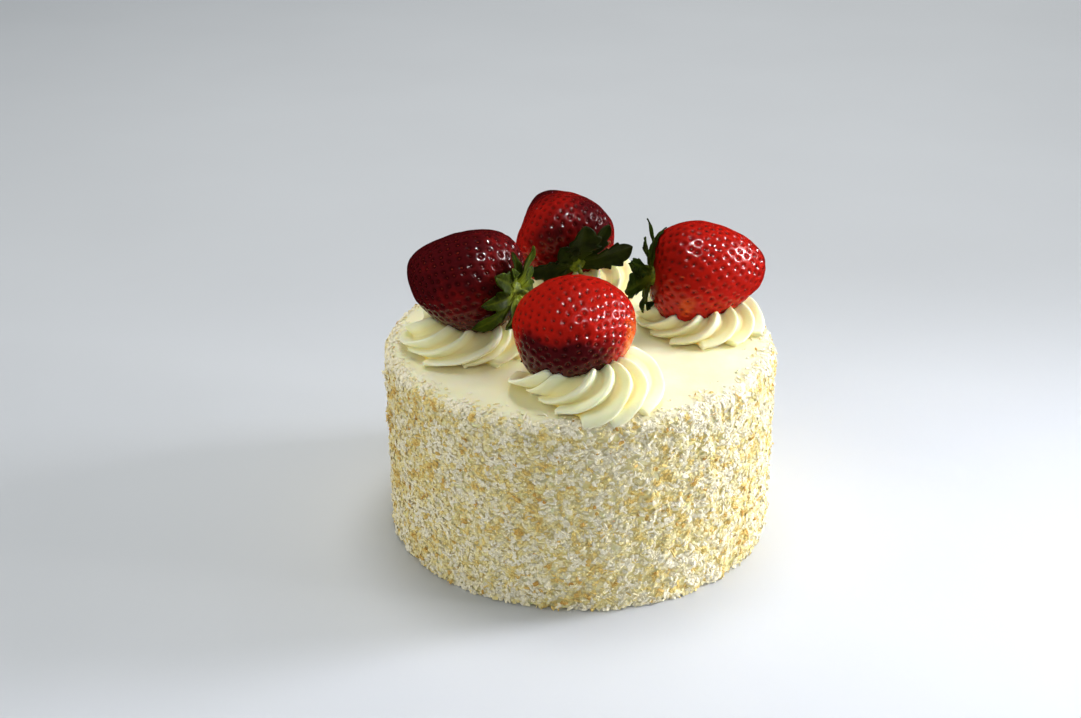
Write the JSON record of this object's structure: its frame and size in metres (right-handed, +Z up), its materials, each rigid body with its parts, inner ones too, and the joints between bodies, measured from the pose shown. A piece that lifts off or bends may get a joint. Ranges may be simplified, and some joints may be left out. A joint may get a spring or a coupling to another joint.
{
  "type": "strawberry cake",
  "caption": "Round iced cake with toasted coconut pressed on its side, piped cream rosettes on top and a whole strawberry with its leaves lying on each rosette.",
  "frame": {"origin": "centre of the cake's flat base, at the level of the surface that it stands on", "axes": "+Z up; -Y towards the rosette and strawberry at the front of the picture, which looks along +Y; +X to its right"},
  "size_m": [0.164, 0.164, 0.133],
  "materials": {
    "coconut_crust": "matt, rough with shreds",
    "whipped_cream": "smooth, soft sheen",
    "strawberry_skin": "glossy, dimpled",
    "strawberry_leaf": "matt, veined"
  },
  "bodies": {
    "root": {"iced_cake": "coconut_crust", "rosette_front": "whipped_cream", "rosette_right": "whipped_cream", "rosette_back": "whipped_cream", "rosette_left": "whipped_cream", "strawberry_front": "strawberry_skin", "strawberry_right": "strawberry_skin", "strawberry_back": "strawberry_skin", "strawberry_left": "strawberry_skin", "calyx_front": "strawberry_leaf", "calyx_right": "strawberry_leaf", "calyx_back": "strawberry_leaf", "calyx_left": "strawberry_leaf"}
  },
  "joints": []
}
